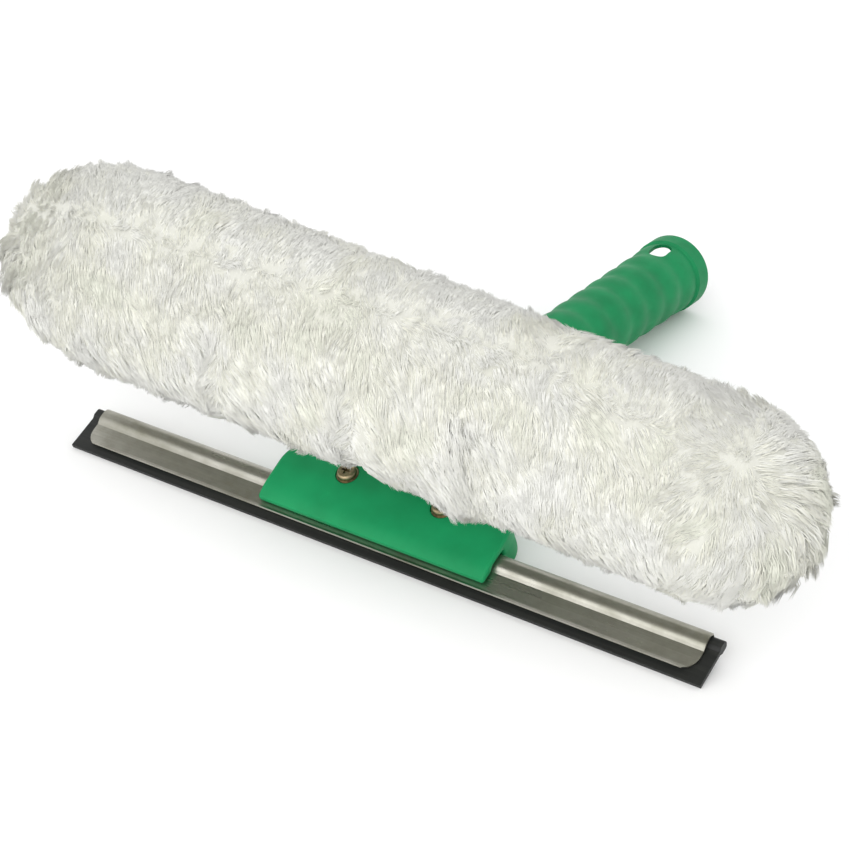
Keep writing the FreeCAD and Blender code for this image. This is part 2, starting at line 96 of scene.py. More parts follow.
def place(made, scale=(1, 1, 1), turn=(0, 0, 0)):
    """The object's own coordinates, turned and scaled."""
    at = add(made, "TexCoord").outputs["Object"]
    return add(made, "Mapping", {"Vector": at, "Rotation": turn, "Scale": scale}).outputs["Vector"]


def noise(made, where, scale, detail=3.0, roughness=0.55):
    """Noise of that scale at the coordinates where."""
    node = add(made, "TexNoise", {"Vector": where, "Scale": scale, "Detail": detail, "Roughness": roughness})
    return node.outputs["Fac"]


def spread(made, value, low, high, to_low=0.0, to_high=1.0):
    """value from low to high becomes to_low to to_high."""
    levels = {"Value": value, "From Min": low, "From Max": high, "To Min": to_low, "To Max": to_high}
    return add(made, "MapRange", levels).outputs["Result"]


def mixed(made, share, first, second):
    """Colour between two colours by share."""
    node = add(made, "Mix", data_type="RGBA")
    for socket, value in ((node.inputs[0], share), (node.inputs[6], first), (node.inputs[7], second)):
        if isinstance(value, bpy.types.NodeSocket):
            made.node_tree.links.new(value, socket)
        else:
            socket.default_value = (*value, 1)
    return node.outputs[2]


def combine(made, operation, a, b):
    """Two values put together by one operation of the Math node."""
    return add(made, "Math", {0: a, 1: b}, operation=operation).outputs[0]


def finish_with(made, colour, roughness, height, strength, distance):
    """Links the shader to a colour, a roughness and a bump height."""
    shader = made.node_tree.nodes["Principled BSDF"]
    link = made.node_tree.links.new
    link(colour, shader.inputs["Base Color"])
    link(roughness, shader.inputs["Roughness"])
    bump = add(made, "Bump", {"Height": height, "Strength": strength, "Distance": distance})
    link(bump.outputs["Normal"], shader.inputs["Normal"])
    return made


# ---- materials --------------------------------------------------------------------------------------
def green_moulding(name, pale, deep, rough, mottle):
    """Moulded polypropylene: soft mottling, a fine spark grain and a few rubbed places."""
    made = new_material(name, pale, rough, Specular_IOR_Level=0.18)
    where = place(made)
    patches = spread(made, noise(made, where, mottle, 4.0), 0.36, 0.66)
    rubbed = spread(made, noise(made, place(made, (1, 0.35, 1)), 260.0, 5.0), 0.66, 0.82)
    colour = mixed(made, patches, pale, deep)
    worn = combine(made, "MULTIPLY", rubbed, 0.35)
    colour = mixed(made, worn, colour, tuple(c * 1.3 + 0.005 for c in pale))
    sheen = spread(made, noise(made, where, mottle * 1.7), 0.3, 0.7, rough - 0.06, rough + 0.08)
    grain = noise(made, where, 2600.0, 2.0)
    return finish_with(made, colour, sheen, grain, 0.25, 0.00006)


def rolled_steel():
    """Used stainless sheet: fine lines along the blade, water marks and a brownish film."""
    made = new_material("steel_sheet", (0.5, 0.49, 0.46), 0.3, Metallic=1.0)
    lines = noise(made, place(made, (6, 900, 900)), 1.0, 4.0, 0.7)
    marks = spread(made, noise(made, place(made, (0.7, 1, 1)), 55.0, 6.0, 0.65), 0.38, 0.7)
    film = mixed(made, marks, (0.47, 0.46, 0.41), (0.27, 0.265, 0.21))
    colour = mixed(made, spread(made, lines, 0.3, 0.7, 0.0, 0.35), film, (0.24, 0.235, 0.20))
    rough = combine(made, "ADD", spread(made, lines, 0.3, 0.7, 0.24, 0.34),
                    spread(made, marks, 0.0, 1.0, 0.0, 0.14))
    return finish_with(made, colour, rough, lines, 0.3, 0.00005)


def blade_rubber(name, dust):
    """Matt black rubber with a bloom of dust that gathers in faint lines along it."""
    made = new_material(name, (0.012, 0.013, 0.012), 0.6, Specular_IOR_Level=0.35)
    specks = spread(made, noise(made, place(made), 900.0, 4.0, 0.7), 0.56, 0.78)
    drawn = spread(made, noise(made, place(made, (14, 500, 500)), 1.0, 3.0), 0.45, 0.75)
    share = combine(made, "MULTIPLY", combine(made, "MAXIMUM", specks, drawn), dust)
    colour = mixed(made, share, (0.009, 0.010, 0.009), (0.11, 0.115, 0.10))
    rough = spread(made, specks, 0.0, 1.0, 0.5, 0.8)
    return finish_with(made, colour, rough, noise(made, place(made, (40, 1500, 1500)), 1.0), 0.25, 0.00005)


def plated_metal(name, bright, dull, rough):
    """Plated steel with tarnish that has crept in blotches."""
    made = new_material(name, bright, rough, Metallic=1.0)
    blotch = spread(made, noise(made, place(made), 420.0, 5.0, 0.6), 0.38, 0.64)
    colour = mixed(made, blotch, bright, dull)
    level = spread(made, blotch, 0.0, 1.0, rough - 0.08, rough + 0.18)
    return finish_with(made, colour, level, noise(made, place(made), 1900.0), 0.3, 0.00005)


def woven_cloth(name, pale, deep, thread_mm, relief_mm):
    """Plain weave in the bar's frame: threads that pass over and under each other, darker towards the colour
    deep where they run low, as painted shade in the weave's hollows.
    """
    made = new_material(name, pale, 0.9, Specular_IOR_Level=0.2, Sheen_Weight=0.3)
    turn = (-BAR_TILT, 0, 0)
    pitch = 1 / (thread_mm * MM)
    heights = []
    for across in ("X", "Y"):
        wave = add(made, "TexWave", {"Vector": place(made, turn=turn), "Scale": pitch / 20, "Distortion": 0.6,
                                     "Detail": 2.0, "Detail Scale": 3.0}, bands_direction=across)
        heights.append(wave.outputs["Fac"])
    threads = combine(made, "MAXIMUM", *heights)
    soil = spread(made, noise(made, place(made), 60.0, 5.0), 0.4, 0.7, 0.0, 0.5)
    # painted shade: the colour falls towards deep where the threads run low, in the hollows of the weave
    colour = mixed(made, combine(made, "MULTIPLY", threads, 0.7), deep, pale)
    colour = mixed(made, soil, colour, tuple(c * 0.86 for c in pale))
    return finish_with(made, colour, spread(made, threads, 0, 1, 0.95, 0.8), threads, 0.6, relief_mm * MM)


def fleece_core_material():
    """Dense matted fibre under the tufts, coloured darker than the fibres over it as painted shade of the
    pile's depth, and darker still where its fine fibre noise runs low, as painted shade between the fibres.
    """
    made = new_material("fleece_core", (0.60, 0.60, 0.55), 0.95, Specular_IOR_Level=0.1, Sheen_Weight=0.2)
    fibres = noise(made, place(made, (1, 0.5, 0.5)), 900.0, 6.0, 0.7)
    depth = spread(made, fibres, 0.3, 0.7)
    tint = spread(made, noise(made, place(made), 30.0, 3.0), 0.35, 0.65)
    pale = mixed(made, tint, (0.61, 0.61, 0.57), (0.60, 0.60, 0.53))
    # painted shade: the core is coloured darker than the fibres for the shade deep in the pile, and darker
    # still where the fibre noise runs low
    colour = mixed(made, depth, (0.55, 0.55, 0.49), pale)
    return finish_with(made, colour, spread(made, depth, 0, 1, 0.98, 0.85), fibres, 0.4, 0.0005)


def fibre_material(name, colour):
    """One shade of fibre; the variety comes from the four shades side by side."""
    return new_material(name, colour, 0.8, Specular_IOR_Level=0.12, Sheen_Weight=0.15)


GREEN_BODY = green_moulding("green_body", (0.010, 0.288, 0.102), (0.008, 0.238, 0.083), 0.46, 38.0)
GREEN_GRIP = green_moulding("green_grip", (0.006, 0.225, 0.078), (0.005, 0.180, 0.062), 0.50, 70.0)
STEEL = rolled_steel()
RUBBER = blade_rubber("blade_rubber", 0.12)
PAD_RUBBER = blade_rubber("pad_rubber", 0.15)
BRASS = plated_metal("dull_brass", (0.42, 0.33, 0.20), (0.22, 0.19, 0.12), 0.42)
ZINC = plated_metal("zinc_plate", (0.58, 0.58, 0.59), (0.38, 0.38, 0.37), 0.36)

NODE_FINISH = {
    GREEN_BODY: ("handle_core", "clamp_plate", "tbar", "tbar_neck", "tbar_endcap_left", "tbar_endcap_right"),
    GREEN_GRIP: ("grip_sleeve",),
    STEEL: ("channel",),
    RUBBER: ("rubber_blade",),
    PAD_RUBBER: ("jaw_pad",),
    BRASS: ("clamp_screw_left", "clamp_screw_right", "washer_left", "washer_right"),
    ZINC: ("nut_left", "nut_right", "neck_pin", "tbar_bolts", "tbar_washers", "tbar_nuts"),
}
for finish, names in NODE_FINISH.items():
    for name in names:
        for held in NODES[name].material_slots:
            held.material = finish


# ---- mesh helpers -----------------------------------------------------------------------------------
def new_piece(name, points, faces, material):
    """A smooth piece from points in the bar's frame, riding on the handle."""
    mesh = bpy.data.meshes.new(name)
    mesh.from_pydata(to_row(points).tolist(), [], [tuple(f) for f in faces])
    mesh.materials.append(material)
    mesh.polygons.foreach_set("use_smooth", [True] * len(mesh.polygons))
    mesh.update()
    made = bpy.data.objects.new(name, mesh)
    bpy.context.scene.collection.objects.link(made)
    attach(made, "handle")
    return made


def between_rings(ring):
    """Quads between neighbouring rings of point numbers; each ring is closed."""
    nxt = np.roll(ring, -1, axis=1)
    return np.stack([ring[:-1], nxt[:-1], nxt[1:], ring[1:]], -1).reshape(-1, 4)


def with_ends(quads, ring):
    """The quads as tuples, with a face over the first ring and one over the last."""
    return [tuple(q) for q in quads] + [tuple(ring[0][::-1]), tuple(ring[-1])]


def drop_loose(piece, faces):
    """Removes the vertices that no face uses."""
    used = np.zeros(len(piece.data.vertices), bool)
    for face in faces:
        used[list(face)] = True
    held = bmesh.new()
    held.from_mesh(piece.data)
    held.verts.ensure_lookup_table()
    bmesh.ops.delete(held, geom=[held.verts[i] for i in np.flatnonzero(~used)], context="VERTS")
    bmesh.ops.recalc_face_normals(held, faces=held.faces)
    held.to_mesh(piece.data)
    held.free()


def divided(corners, longest):
    """A closed run of points with each side divided into steps of about that length."""
    points = []
    for a, b in zip(corners, corners[1:] + corners[:1]):
        steps = max(1, round(math.dist(a, b) / longest))
        points += [(a[0] + (b[0] - a[0]) * s / steps, a[1] + (b[1] - a[1]) * s / steps) for s in range(steps)]
    return points


def waves(rng, count, shortest, longest):
    """A smooth random field: a function of points (..., 3) that gives values of about -1 to 1."""
    turn = rng.normal(size=(count, 3))
    turn /= np.linalg.norm(turn, axis=1)[:, None]
    lengths = np.exp(rng.uniform(math.log(shortest), math.log(longest), count))
    vectors = turn * (2 * math.pi / lengths)[:, None]
    starts = rng.uniform(0, 2 * math.pi, count)

    def field(points):
        return np.sin(points @ vectors.T + starts).sum(-1) / math.sqrt(count / 2) * 0.7

    return field


# ---- the fleece's outer form --------------------------------------------------------------------------
HALF_W, HALF_U = 48.8, 31.8        # half the roll's width and thickness in its middle
TAPER = -0.0185                    # its half width falls this much with each millimetre of x
MIDDLE, SKEW = -3.2, -0.040        # w of its middle line, and how much that falls with x
LEFT_END, RIGHT_END = 88.0, 59.0   # reach of its rounded ends
SPINE = (-136.6, 164.8)            # the roll keeps its full section between these
END_POWER = 2.4
CORE_LEVEL = 0.940                 # matted core as a share of the outer form
CORE_THICK = 9.0
RELIEF = 0.012                     # height of the lumps that the core and the fibres share
OPENING = (35.0, 18.0)             # half sizes of the opening for the neck, in x and w
TAPE_WAY = (0.0, 95.0, 12.0)       # bare strip for the closure tapes: from x, to x and half width
LOWER_EDGE = -18.0                 # the notch and the long lock lie below this w
NOTCH_X, NOTCH_WIDTH = 9.5, 5.5
LOCK_X, LOCK_WIDTH = 64.0, 8.0
CREASE_DEPTH, CREASE_WIDTH = 0.035, 3.5
# the parting between the fibres combed down and up, as points (x, w), and where the crease in it fades
PARTING = ((-210.0, 20.0), (-114.0, 19.0), (0.0, 19.5), (90.0, 19.0), (114.0, 14.0), (189.0, 0.0))
CREASE_FROM, CREASE_TO, CREASE_FADE = -170.0, 140.0, 30.0


def to_roll(points):
    """Nearest x on the spine, the end's reach, and the offset as shares of the roll's half sizes."""
    x, w, u = np.moveaxis(points, -1, 0)
    foot = np.clip(x, *SPINE)
    reach = np.where(x < foot, LEFT_END, RIGHT_END)
    shares = np.stack([(x - foot) / reach, (w - MIDDLE - SKEW * x) / (HALF_W + TAPER * x), u / HALF_U], -1)
    return foot, reach, shares


def from_roll(foot, reach, shares):
    """The points that to_roll gives these values for."""
    x = foot + shares[..., 0] * reach
    w = MIDDLE + SKEW * x + shares[..., 1] * (HALF_W + TAPER * x)
    return np.stack([x, w, shares[..., 2] * HALF_U], -1)


def on_roll(points, level):
    """Points moved straight away from the spine until they lie at that share of the outer form."""
    foot, reach, shares = to_roll(points)
    for _ in range(4):
        full = np.abs(shares[..., 0]) ** END_POWER + shares[..., 1] ** 2 + shares[..., 2] ** 2
        shares = shares * (full[..., None] ** (-1 / 2.2))
    return from_roll(foot, reach, shares * np.asarray(level)[..., None])


def outward(points):
    """Unit normals of the roll."""
    foot, reach, shares = to_roll(points)
    a, b, c = np.moveaxis(shares, -1, 0)
    slope_x = END_POWER / reach * np.abs(a) ** (END_POWER - 1) * np.sign(a)
    normal = np.stack([slope_x, 2 * b / HALF_W, 2 * c / HALF_U], -1)
    return normal / np.linalg.norm(normal, axis=-1)[..., None]


def roll_grid(along, around):
    """Rings of points on the outer form, from the left end to the right."""
    turn = np.linspace(0.06, math.pi / 2, along // 4)
    size, bend = np.sin(turn), np.cos(turn) ** (2 / END_POWER)
    middle = np.linspace(*SPINE, along // 2 + 2)[1:-1]
    foot = np.concatenate([np.full(len(turn), SPINE[0]), middle, np.full(len(turn), SPINE[1])])
    reach = np.concatenate([np.full(len(turn), LEFT_END), np.ones(len(middle)),
                            np.full(len(turn), RIGHT_END)])
    past = np.concatenate([-bend, np.zeros(len(middle)), bend[::-1]])
    size = np.concatenate([size, np.ones(len(middle)), size[::-1]])
    angle = np.linspace(0, 2 * math.pi, around, endpoint=False)
    past = np.broadcast_to(past[:, None], (len(past), around))
    shares = np.stack([past, size[:, None] * np.cos(angle), size[:, None] * np.sin(angle)], -1)
    return from_roll(foot[:, None], reach[:, None], shares)


def crease(points):
    """How near a point lies to the parting along the roll's front, 0 to 1."""
    x, w, u = np.moveaxis(points, -1, 0)
    part_w = np.interp(x, *zip(*PARTING))
    along = np.clip((x - CREASE_FROM) / CREASE_FADE, 0, 1) * np.clip((CREASE_TO - x) / CREASE_FADE, 0, 1)
    return np.exp(-((w - part_w) / CREASE_WIDTH) ** 2) * along * (u > 0)


def notch(points):
    """How deep a point lies in the gap between two locks at the roll's lower edge, 0 to 1."""
    x, w, u = np.moveaxis(points, -1, 0)
    return np.exp(-((x - NOTCH_X) / NOTCH_WIDTH) ** 2) * (w < LOWER_EDGE) * np.clip(u / 12 + 1.4, 0, 1)


def long_lock(points):
    """How near a point lies to the middle of the long lock at the roll's lower edge, 0 to 1."""
    x, w, _ = np.moveaxis(points, -1, 0)
    return np.exp(-((x - LOCK_X) / LOCK_WIDTH) ** 2) * (w < LOWER_EDGE)


def in_opening(points, margin=0.0):
    """True over the opening for the neck and over the closure tapes, on the back."""
    x, w, u = np.moveaxis(points, -1, 0)
    neck = (np.abs(x) < OPENING[0] + margin) & (np.abs(w) < OPENING[1] + margin)
    tapes = (x > TAPE_WAY[0]) & (x < TAPE_WAY[1] + margin) & (np.abs(w) < TAPE_WAY[2] + margin)
    return (u < 0) & (neck | tapes)


def fleece_core(relief):
    """Matted body of the pile, open at the back, with its rim turned in to the cloth."""
    grid = roll_grid(240, 120)
    along, around = grid.shape[:2]
    level = CORE_LEVEL + RELIEF * relief(grid) - 0.06 * notch(grid) - CREASE_DEPTH * crease(grid)
    points = on_roll(grid, level).reshape(-1, 3)
    ring = np.arange(along * around).reshape(along, around)
    quads = between_rings(ring)
    faces = with_ends(quads[~in_opening(points[quads].mean(1))], ring)
    core = new_piece("fleece_core", points, faces, fleece_core_material())
    drop_loose(core, faces)
    solid = core.modifiers.new("depth", "SOLIDIFY")
    solid.thickness, solid.offset, solid.use_even_offset = CORE_THICK * MM, -1, False
    return core


# ---- how the fleece is combed --------------------------------------------------------------------------
# each whorl: its middle (x, w), the x where the fibres begin to turn to it, and where they all have
WHORLS = (((189.0, 0.0), 150.0, 182.0), ((-212.0, 5.0), -176.0, -212.0))
SPLITS = ((12.0, -1), (88.0, 1), (-62.0, -1))   # x where the tufts part, at the lower (-1) or upper edge


def combing(points, normals, fields):
    """Which way the tufts lean, as vectors along the surface; 1 is a lean of 45 degrees."""
    x, w, u = np.moveaxis(points, -1, 0)
    part_w = np.interp(x, *zip(*PARTING))
    front = np.clip(u / HALF_U * 2.5 + 0.2, 0, 1)
    down = np.tanh((part_w - w) / 4.0)
    fields = [field(points) for field in fields]
    lean_w = -down * (0.85 + 0.25 * fields[0]) * front
    lean_x = np.where(down > 0, 0.55, -0.05) * front + 0.35 * fields[1]
    lean_w = lean_w + (1 - front) * (0.25 * np.sign(w) + 0.2 * fields[2])
    for split_x, edge in SPLITS:
        near = np.exp(-((x - split_x) / 9.0) ** 2) * (w * edge > 22)
        lean_x = lean_x + near * np.clip((x - split_x) / 2.5, -1, 1) * 1.3
    lean = np.stack([lean_x, lean_w, np.zeros_like(x)], -1)
    for whorl, begin, full in WHORLS:
        share = np.clip((x - begin) / (full - begin), 0, 1)
        away = np.stack([x - whorl[0], w - whorl[1], np.zeros_like(x)], -1)
        away /= np.linalg.norm(away, axis=-1)[..., None] + 4.0
        away[..., 0] += 0.4 * fields[1]
        away[..., 1] += 0.4 * fields[2] - 0.2
        lean = lean * (1 - share[..., None]) + away * share[..., None]
    return lean - normals * (lean * normals).sum(-1)[..., None]


def scattered(rng, count):
    """Points spread evenly by area over the outer form."""
    grid = roll_grid(400, 160)
    nxt = np.roll(grid, -1, axis=1)
    a, b, c, d = grid[:-1], nxt[:-1], nxt[1:], grid[1:]
    area = np.linalg.norm(np.cross(c - a, d - b), axis=-1).ravel() / 2
    total = np.cumsum(area)
    pick = (np.arange(count) + rng.uniform(size=count)) / count * total[-1]
    cell = np.minimum(np.searchsorted(total, pick), area.size - 1)
    s, t = rng.uniform(size=(2, count, 1))
    a, b, c, d = (q.reshape(-1, 3)[cell] for q in (a, b, c, d))
    return (a * (1 - s) + b * s) * (1 - t) + (d * (1 - s) + c * s) * t


CLUMPS, PER_CLUMP = 20000, 10
TUFTS = 3000                       # clumps lean together towards the tip of the nearest tuft
TUFT_REACH = 9.0
BANDS = 11                         # pieces that the fibres are divided into along the roll
ROOT_DEPTH = 0.05                  # how far below the core's level the fibres start
CLUMP_RADIUS = 2.2
OWN_SHARE = 0.28                   # how much of its own sides a fibre shows in its shading
END_LIFT = 0.8                     # how much the shading of the rounded ends turns upwards
RINGS = ((0.0, 0.16), (0.5, 0.16))   # share of a fibre's length, and its radius there
SHADES = {
    "fibre_cool": (0.745, 0.745, 0.705),
    "fibre_white": (0.76, 0.76, 0.70),
    "fibre_cream": (0.75, 0.745, 0.655),
    "fibre_green_cream": (0.72, 0.73, 0.635),
}


def clump_tips(rng, relief, fields, centres, normals):
    """Where the clumps' tips lie over the surface, and how far out, as shares of the outer form."""
    count = len(centres)
    lean = combing(centres, normals, fields)
    reach = rng.uniform(7.0, 11.0, count)
    shares = np.abs(to_roll(centres)[2])
    ends, hems = np.clip((shares[:, 0] - 0.35) * 2.2, 0, 1), np.clip((shares[:, 1] - 0.75) * 5, 0, 1)
    tips = centres + lean * reach[:, None]
    tuft_at = scattered(rng, TUFTS)
    nearest = np.array([np.argmin(((tuft_at - p) ** 2).sum(1)) for p in centres])
    tuft_tips = tuft_at + combing(tuft_at, outward(tuft_at), fields) * TUFT_REACH
    pull = (0.35 + 0.25 * ends)[:, None]
    tips = tips * (1 - pull) + tuft_tips[nearest] * pull
    gap = np.linalg.norm(centres - tuft_at[nearest], axis=1)
    spike = rng.uniform(size=TUFTS)[nearest] ** 2 * np.exp(-(gap / 3.2) ** 2)
    level = 0.970 + RELIEF * relief(centres) + rng.normal(0, 0.005, count)
    level = level + 0.09 * long_lock(centres) - 0.07 * notch(centres) - CREASE_DEPTH * crease(centres)
    return tips, level + spike * (0.025 + 0.08 * ends + 0.035 * hems)


def fleece_fibres(rng, relief):
    """The line of every fibre, (count, 3, 3) points from root to tip, and (count,) shade numbers."""
    fields = [waves(rng, 18, 14.0, 60.0) for _ in range(3)]
    tone = waves(rng, 20, 18.0, 90.0)
    centres = scattered(rng, CLUMPS)
    centres = centres[~in_opening(on_roll(centres, CORE_LEVEL * np.ones(len(centres))), 2.0)]
    count = len(centres)
    normals = outward(centres)
    tips, tip_level = clump_tips(rng, relief, fields, centres, normals)

    each = np.repeat(np.arange(count), PER_CLUMP)
    total = len(each)
    side = np.cross(normals, rng.normal(size=(count, 3)))
    side /= np.linalg.norm(side, axis=1)[:, None]
    other = np.cross(normals, side)
    angle = rng.uniform(0, 2 * math.pi, total)
    radius = CLUMP_RADIUS * np.sqrt(rng.uniform(size=total))
    disc = side[each] * (radius * np.cos(angle))[:, None] + other[each] * (radius * np.sin(angle))[:, None]
    roots = centres[each] + disc
    gather = rng.uniform(0.2, 0.75, total)[:, None]
    stray = rng.normal(0, 0.5, (total, 3)) * (1 + 1.5 * (rng.uniform(size=total) > 0.93))[:, None]
    ends_at = tips[each] + disc * gather + stray
    level = tip_level[each] + rng.normal(0, 0.005, total)
    lines = []
    for share, _ in RINGS + ((1.0, 0.0),):
        along = share ** 1.5
        flat = roots * (1 - along) + ends_at * along
        rise = (CORE_LEVEL - ROOT_DEPTH) + (level - CORE_LEVEL + ROOT_DEPTH) * (1 - (1 - share) ** 1.9)
        lines.append(on_roll(flat, rise))
    lines = np.stack(lines, 1)
    warm = tone(centres)[each] + rng.normal(0, 0.55, total)
    # painted light and shade: the cool shades go towards the top and bottom edges and the cream and
    # green-cream ones along the middle; the tone field and the noise are real variety
    edge = np.abs(centres[each, 1] + 8) / HALF_W
    warm = warm + 0.5 - 1.6 * edge
    return lines, len(SHADES) - 1 - np.digitize(-warm, (-0.9, -0.1, 0.9))


def fibre_mesh(lines, shades):
    """Three-sided tapering fibres: points, the way each point faces, triangles and their shades."""
    along = np.gradient(lines, axis=1)
    along /= np.linalg.norm(along, axis=2)[..., None] + 1e-9
    side = np.cross(along, np.broadcast_to((0.31, 0.52, 0.79), along.shape))
    side /= np.linalg.norm(side, axis=2)[..., None] + 1e-9
    other = np.cross(along, side)
    points, facing = [], []
    for k, (_, radius) in enumerate(RINGS):
        for corner in range(3):
            turn = 2 * math.pi * corner / 3
            facing.append(side[:, k] * math.cos(turn) + other[:, k] * math.sin(turn))
            points.append(lines[:, k] + radius * facing[-1])
    points.append(lines[:, -1])
    facing.append(along[:, -1])
    points = np.stack(points, 1)
    ends = np.clip((np.abs(lines[:, 0, 0]) - 150) / 50, 0, 1)[:, None]
    surface = outward(lines[:, 0]) + END_LIFT * ends * BAR_AXES[:, 2]
    facing = OWN_SHARE * np.stack(facing, 1) + (1 - OWN_SHARE) * surface[:, None, :]
    facing /= np.linalg.norm(facing, axis=2)[..., None] + 1e-9
    pattern = [(0, 2, 1)]
    for k in range(len(RINGS) - 1):
        for corner in range(3):
            a, b = 3 * k + corner, 3 * k + (corner + 1) % 3
            pattern += [(a, b, b + 3), (a, b + 3, a + 3)]
    last = 3 * (len(RINGS) - 1)
    pattern += [(last + c, last + (c + 1) % 3, last + 3) for c in range(3)]
    pattern = np.array(pattern)
    faces = (np.arange(len(lines)) * points.shape[1])[:, None, None] + pattern
    return points.reshape(-1, 3), facing.reshape(-1, 3), faces.reshape(-1, 3), np.repeat(shades, len(pattern))


def fibre_piece(name, lines, shades, materials):
    """Fibres that take the light mostly as the roll's surface does, softly, and less by their own sides."""
    points, facing, faces, face_shades = fibre_mesh(lines, shades)
    mesh = bpy.data.meshes.new(name)
    mesh.vertices.add(len(points))
    mesh.vertices.foreach_set("co", to_row(points).astype(np.float32).ravel())
    mesh.loops.add(faces.size)
    mesh.loops.foreach_set("vertex_index", faces.astype(np.int32).ravel())
    mesh.polygons.add(len(faces))
    mesh.polygons.foreach_set("loop_start", np.arange(0, faces.size, 3, dtype=np.int32))
    mesh.polygons.foreach_set("material_index", face_shades.astype(np.int32))
    mesh.polygons.foreach_set("use_smooth", np.ones(len(faces), bool))
    for one in materials:
        mesh.materials.append(one)
    mesh.update(calc_edges=True)
    mesh.normals_split_custom_set_from_vertices(facing @ BAR_AXES)
    made = bpy.data.objects.new(name, mesh)
    bpy.context.scene.collection.objects.link(made)
    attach(made, "handle")
    return made


def fleece(rng):
    """The pile: its matted core and the bands of fibres over it."""
    relief = waves(rng, 24, 9.0, 34.0)
    core = fleece_core(relief)
    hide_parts("sleeve_pile")
    lines, shades = fleece_fibres(rng, relief)
    materials = [fibre_material(name, colour) for name, colour in SHADES.items()]
    order = np.argsort(lines[:, 0, 0], kind="stable")
    bands = [fibre_piece(f"fleece_tufts_{k + 1}", lines[part], shades[part], materials)
             for k, part in enumerate(np.array_split(order, BANDS))]
    return [core, *bands]


# ---- the sleeve's cloth, binding and closure ----------------------------------------------------------
CLOTH_W, CLOTH_U, CLOTH_X = 24.55, 8.55, 179.5     # half sizes of the cloth's outer side
CLOTH_THICK = 1.2
SLIT = (30.0, 15.0)                                # half sizes of the slit for the neck, in x and w
TAPE_HALF = 10.0                                   # half width of the closure tapes
TAPE_GAP, TAPE_STEP = 0.15, 1.2                    # from the cloth to the first tape, and to the next


def rounded_ring(half_w, half_u, radius, per_corner):
    """Points round a rounded rectangle, corner by corner."""
    ring = []
    for k, (sw, su) in enumerate(((1, 1), (-1, 1), (-1, -1), (1, -1))):
        for step in range(per_corner):
            turn = math.radians(90 * k + 90 * step / (per_corner - 1))
            ring.append((sw * (half_w - radius) + radius * math.cos(turn),
                         su * (half_u - radius) + radius * math.sin(turn)))
    return ring


def sleeve_cloth(rng):
    """Backing cloth pulled over the bar, with the slit for the neck in its back."""
    flats = divided(rounded_ring(CLOTH_W, CLOTH_U, 8.0, 7), 2.5)
    stations = [-CLOTH_X, *np.linspace(-CLOTH_X + 0.8, CLOTH_X - 0.8, 144), CLOTH_X]
    ruck = waves(rng, 14, 12.0, 45.0)
    points = []
    for x in stations:
        shrink = 0.9 if abs(x) == CLOTH_X else 1.0
        points += [(x, w * shrink, u * shrink) for w, u in flats]
    points = np.array(points)
    normal = points * (0, 1 / CLOTH_W ** 2, 1 / CLOTH_U ** 2)
    normal /= np.linalg.norm(normal, axis=1)[:, None]
    points = points + normal * (0.12 * (ruck(points) - 1))[:, None]
    ring = np.arange(len(points)).reshape(len(stations), len(flats))
    quads = between_rings(ring)
    middle = points[quads].mean(1)
    cut = (np.abs(middle[:, 0]) < SLIT[0]) & (np.abs(middle[:, 1]) < SLIT[1]) & (middle[:, 2] < 0)
    faces = with_ends(quads[~cut], ring)
    cloth = new_piece("sleeve_cloth", points, faces,
                      woven_cloth("backing_knit", (0.80, 0.79, 0.72), (0.55, 0.54, 0.47), 0.9, 0.25))
    drop_loose(cloth, faces)
    solid = cloth.modifiers.new("cloth", "SOLIDIFY")
    solid.thickness, solid.offset = CLOTH_THICK * MM, -1
    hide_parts("sleeve_backing")
    return cloth


def sweep(path, profile):
    """Points and quads of a profile carried round a closed path in the plane u = 0."""
    path = np.array(path, float)
    tangent = np.roll(path, -1, axis=0) - np.roll(path, 1, axis=0)
    tangent /= np.linalg.norm(tangent, axis=1)[:, None]
    out = np.stack([tangent[:, 1], -tangent[:, 0]], 1)
    points = []
    for (x, w), (ox, ow) in zip(path, out):
        points += [(x + ox * a, w + ow * a, b) for a, b in profile]
    ring = np.arange(len(points)).reshape(len(path), len(profile))
    nxt, side = np.roll(ring, -1, axis=0), np.roll(ring, -1, axis=1)
    both = np.roll(nxt, -1, axis=1)
    return np.array(points), np.stack([ring, side, both, nxt], -1).reshape(-1, 4)


def slit_binding():
    """Folded tape sewn round the slit, with its line of stitches."""
    path = divided(rounded_ring(SLIT[0] + 2.4, SLIT[1] + 1.6, 6.0, 10), 1.5)
    low = -CLOTH_U - 0.05
    profile = [(2.1, low - 0.1), (2.2, low - 0.8), (1.5, low - 1.35), (0.0, low - 1.15), (-1.2, low - 1.4),
               (-2.1, low - 0.9), (-2.3, low - 0.1), (-2.3, low + 1.1), (-1.7, low + 1.1), (-1.6, low)]
    points, faces = sweep(path, profile)
    tape = new_piece("slit_binding_tape", points, faces,
                     woven_cloth("binding_twill", (0.78, 0.78, 0.73), (0.5, 0.5, 0.46), 0.7, 0.2))
    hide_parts("slit_binding")
    return [tape, stitches("binding_stitches", path[::2], low - 1.25)]


def stitches(name, places, level):
    """A run of short threads between neighbouring places, each a small arched loop."""
    points, faces = [], []
    places = np.array(places, float)
    for a, b in zip(places[:-1], places[1:]):
        run = b - a
        length = np.linalg.norm(run)
        if length < 0.5:
            continue
        along, side = run / length, np.array((-run[1], run[0])) / length
        base = len(points)
        for share, rise in ((0.1, 0.12), (0.3, -0.18), (0.7, -0.18), (0.9, 0.12)):
            for turn in range(6):
                angle = math.pi * turn / 3
                at = a + along * length * share + side * 0.22 * math.cos(angle)
                points.append((at[0], at[1], level + rise + 0.22 * math.sin(angle)))
        for k in range(3):
            for turn in range(6):
                p, q = base + 6 * k + turn, base + 6 * k + (turn + 1) % 6
                faces.append((p, q, q + 6, p + 6))
        faces += [tuple(base + t for t in range(5, -1, -1)), tuple(base + 18 + t for t in range(6))]
    made = new_piece(name, np.array(points), faces,
                     woven_cloth(name + "_thread", (0.86, 0.86, 0.82), (0.6, 0.6, 0.56), 0.35, 0.05))
    return made


